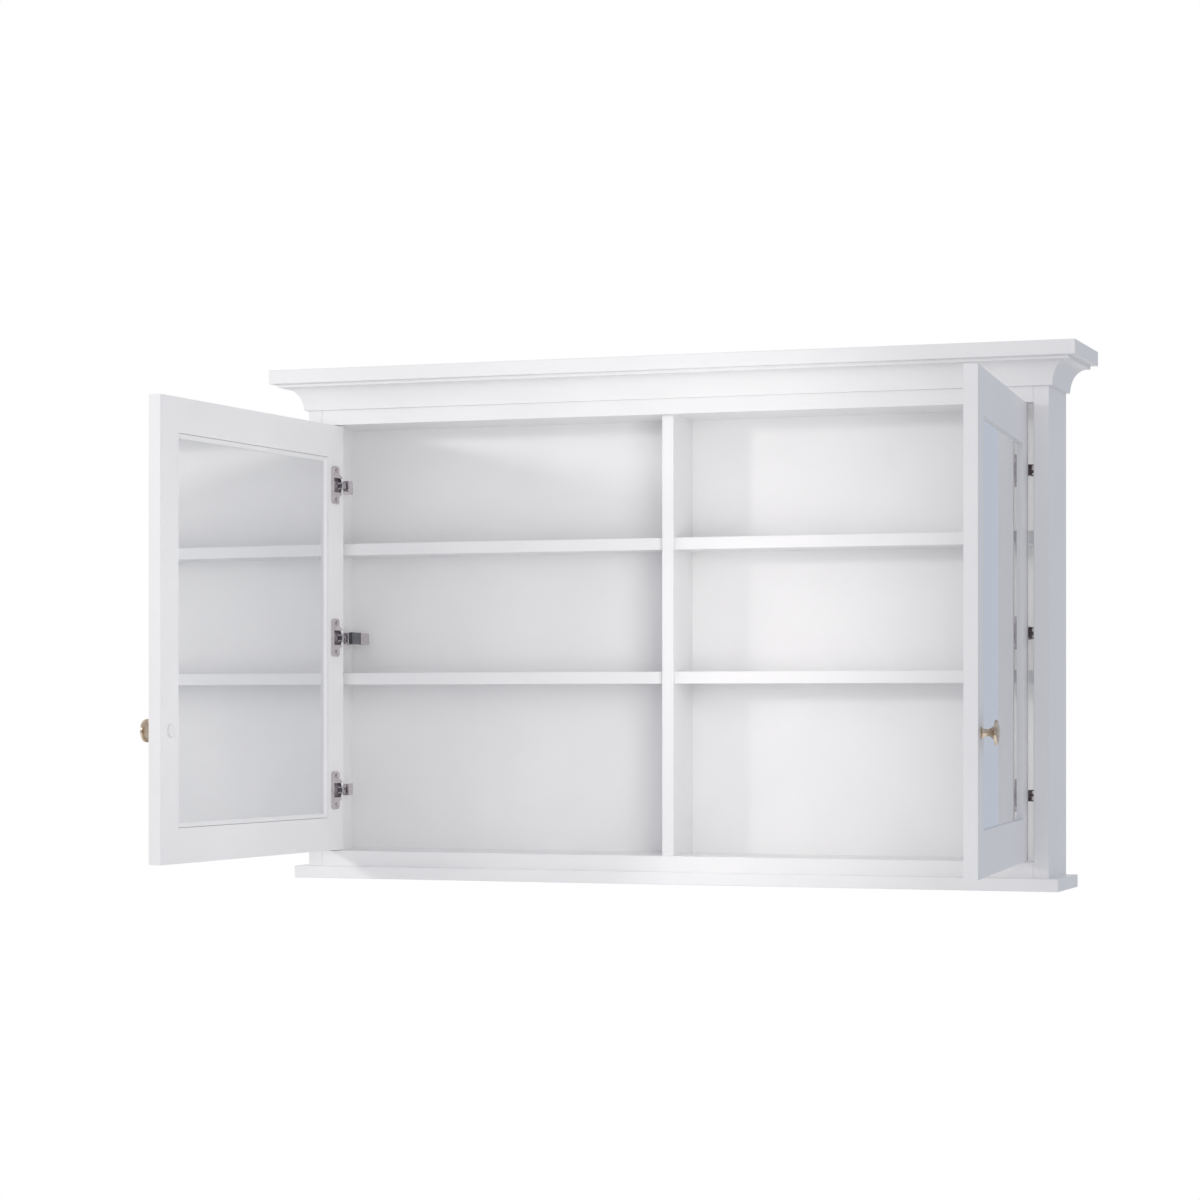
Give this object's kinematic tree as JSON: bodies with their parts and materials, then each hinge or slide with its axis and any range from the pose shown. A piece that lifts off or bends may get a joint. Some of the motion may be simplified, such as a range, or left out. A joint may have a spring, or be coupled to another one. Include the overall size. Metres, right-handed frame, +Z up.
{
  "type": "medicine cabinet",
  "caption": "White painted wall cabinet with a moulded cornice, a base board, shelves and inset mirror doors on concealed hinges.",
  "frame": {"origin": "midway between the two keyhole entry holes, in the plane of the wall", "axes": "+X to the viewer's right across the front, +Y into the wall, +Z up"},
  "size_m": [1.36, 0.7237, 0.85],
  "materials": {
    "white_paint": "satin white paint",
    "mirror_glass": "silvered, polished",
    "hardboard": "bare hardboard",
    "antique_brass": "aged, satin",
    "nickel": "nickel plated",
    "zinc_steel": "zinc plated",
    "white_plastic": "satin",
    "damper_plastic": "matte",
    "damper_cover": "matte"
  },
  "bodies": {
    "case": {"left_side_panel": "white_paint", "right_side_panel": "white_paint", "top_panel": "white_paint", "bottom_panel": "white_paint", "top_rail": "white_paint", "bottom_rail": "white_paint", "base_board": "white_paint", "cornice_board": "white_paint", "cornice_moulding_front": "white_paint", "cornice_moulding_left": "white_paint", "cornice_moulding_right": "white_paint", "back_panel": "white_paint", "hanging_rail": "white_paint", "centre_divider": "white_paint", "left_lower_shelf": "white_paint", "left_upper_shelf": "white_paint", "right_lower_shelf": "white_paint", "right_upper_shelf": "white_paint", "board_screws": "zinc_steel", "keyhole_plates": "zinc_steel", "keyhole_plate_screws": "zinc_steel", "hinge_plates": "nickel", "hinge_plate_screws": "nickel", "hinge_arms": "nickel", "arm_screws": "nickel", "link_pins": "nickel", "closing_dampers": "damper_plastic", "damper_covers": "damper_cover"},
    "left_door": {"left_door_hinge_stile": "white_paint", "left_door_free_stile": "white_paint", "left_door_top_rail": "white_paint", "left_door_bottom_rail": "white_paint", "left_door_outside_mirror": "mirror_glass", "left_door_backing_board": "hardboard", "left_door_inside_mirror": "mirror_glass", "left_door_mirror_bead": "white_paint", "left_door_knob": "antique_brass", "left_door_knob_screw": "zinc_steel", "left_door_screw_cap": "white_plastic", "left_door_hinge_cups": "nickel", "left_door_cup_screws": "nickel"},
    "left_outer_links_body": {"left_outer_links": "nickel"},
    "left_inner_links_body": {"left_inner_links": "nickel"},
    "right_door": {"right_door_hinge_stile": "white_paint", "right_door_free_stile": "white_paint", "right_door_top_rail": "white_paint", "right_door_bottom_rail": "white_paint", "right_door_outside_mirror": "mirror_glass", "right_door_backing_board": "hardboard", "right_door_inside_mirror": "mirror_glass", "right_door_mirror_bead": "white_paint", "right_door_knob": "antique_brass", "right_door_knob_screw": "zinc_steel", "right_door_screw_cap": "white_plastic", "right_door_hinge_cups": "nickel", "right_door_cup_screws": "nickel"},
    "right_outer_links_body": {"right_outer_links": "nickel"},
    "right_inner_links_body": {"right_inner_links": "nickel"}
  },
  "joints": [
    {"name": "left_door_swing", "type": "hinge", "parent": "case", "child": "left_door", "pos_m": [-0.59, -0.1347, -0.3275], "axis": [0, 0, 1], "range_deg": [0, 93]},
    {"name": "left_outer_link_swing", "type": "hinge", "parent": "case", "child": "left_outer_links_body", "pos_m": [-0.571, -0.111, -0.3275], "axis": [0, 0, 1], "range_deg": [-22.32, 0]},
    {"name": "left_inner_link_swing", "type": "hinge", "parent": "case", "child": "left_inner_links_body", "pos_m": [-0.5805, -0.1115, -0.3275], "axis": [0, 0, 1], "range_deg": [-37.2, 0]},
    {"name": "right_door_swing", "type": "hinge", "parent": "case", "child": "right_door", "pos_m": [0.59, -0.1347, -0.3275], "axis": [0, 0, 1], "range_deg": [-95.2, 0]},
    {"name": "right_outer_link_swing", "type": "hinge", "parent": "case", "child": "right_outer_links_body", "pos_m": [0.571, -0.111, -0.3275], "axis": [0, 0, 1], "range_deg": [0, 22.85]},
    {"name": "right_inner_link_swing", "type": "hinge", "parent": "case", "child": "right_inner_links_body", "pos_m": [0.5805, -0.1115, -0.3275], "axis": [0, 0, 1], "range_deg": [0, 38.08]}
  ],
  "couplings": [
    {"joint": "left_outer_link_swing", "follows": "left_door_swing", "ratio": -0.24},
    {"joint": "left_inner_link_swing", "follows": "left_door_swing", "ratio": -0.4},
    {"joint": "right_outer_link_swing", "follows": "right_door_swing", "ratio": -0.24},
    {"joint": "right_inner_link_swing", "follows": "right_door_swing", "ratio": -0.4}
  ]
}
